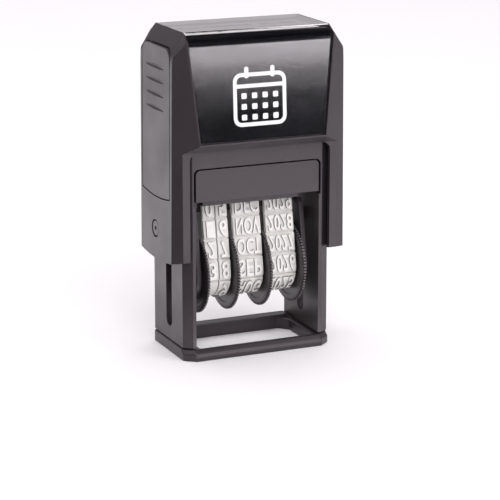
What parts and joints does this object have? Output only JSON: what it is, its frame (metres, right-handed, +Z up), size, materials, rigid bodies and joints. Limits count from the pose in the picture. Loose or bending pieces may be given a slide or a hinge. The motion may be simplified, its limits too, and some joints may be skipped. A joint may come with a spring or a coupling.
{
  "type": "self-inking date stamp",
  "caption": "Self-inking date stamp: a sprung cap presses down over an open frame, turning a carriage of date bands from the ink pad to the paper.",
  "frame": {"origin": "centre of the whole stamp's box, on the surface that it stands on, with the cap up", "axes": "+Z up, the way the cap rises; -Y towards the front, where the date bands show; +X along the wheel axle"},
  "size_m": [0.0418, 0.0244, 0.0736],
  "materials": {
    "satin_black_plastic": "satin moulded black ABS",
    "soft_grip_plastic": "fine matt black",
    "wheel_plastic": "satin black, knurled rim",
    "clear_cover_plastic": "clear polished plastic",
    "white_card": "white printed card",
    "band_rubber": "off-white moulded rubber",
    "inked_foam": "foam soaked in black ink",
    "steel": "bright steel"
  },
  "bodies": {
    "root": {"frame_body": "satin_black_plastic", "base_foot": "satin_black_plastic", "return_spring": "steel"},
    "cap": {"cap_shell": "satin_black_plastic", "index_cover": "clear_cover_plastic", "imprint_card": "white_card", "side_grip_left": "soft_grip_plastic", "side_grip_right": "soft_grip_plastic"},
    "pad": {"pad_cassette": "satin_black_plastic", "ink_pad": "inked_foam"},
    "carriage": {"cheek_left": "satin_black_plastic", "cheek_right": "satin_black_plastic", "pivot_pin_left": "wheel_plastic", "pivot_pin_right": "wheel_plastic", "type_bridge": "satin_black_plastic", "text_holder": "satin_black_plastic", "text_die": "band_rubber", "wheel_axle": "steel", "tens_band": "band_rubber", "units_band": "band_rubber", "month_band": "band_rubber", "year_band": "band_rubber"},
    "tens": {"tens_wheel": "wheel_plastic"},
    "units": {"units_wheel": "wheel_plastic"},
    "month": {"month_wheel": "wheel_plastic"},
    "year": {"year_wheel": "wheel_plastic"}
  },
  "joints": [
    {"name": "cap_press", "type": "slide", "parent": "root", "child": "cap", "axis": [0, 0, -1], "range_m": [0, 0.0213], "stiffness_N_per_m": 900, "springref_m": -0.0045, "deforming": ["return_spring"]},
    {"name": "pad_slide", "type": "slide", "parent": "root", "child": "pad", "axis": [0, 1, 0], "range_m": [-0.018, 0]},
    {"name": "carriage_flip", "type": "hinge", "parent": "cap", "child": "carriage", "pos_m": [0, 0.00056, 0.0289], "axis": [1, 0, 0], "range_deg": [0, 180]},
    {"name": "tens_spin", "type": "hinge", "parent": "carriage", "child": "tens", "pos_m": [-0.01, 0.00056, 0.018], "axis": [1, 0, 0], "continuous": true},
    {"name": "units_spin", "type": "hinge", "parent": "carriage", "child": "units", "pos_m": [-0.006, 0.00056, 0.018], "axis": [1, 0, 0], "continuous": true},
    {"name": "month_spin", "type": "hinge", "parent": "carriage", "child": "month", "pos_m": [0, 0.00056, 0.018], "axis": [1, 0, 0], "continuous": true},
    {"name": "year_spin", "type": "hinge", "parent": "carriage", "child": "year", "pos_m": [0.008, 0.00056, 0.018], "axis": [1, 0, 0], "continuous": true}
  ],
  "couplings": [
    {"joint": "carriage_flip", "follows": "cap_press", "rad_per_m": 147.49}
  ]
}
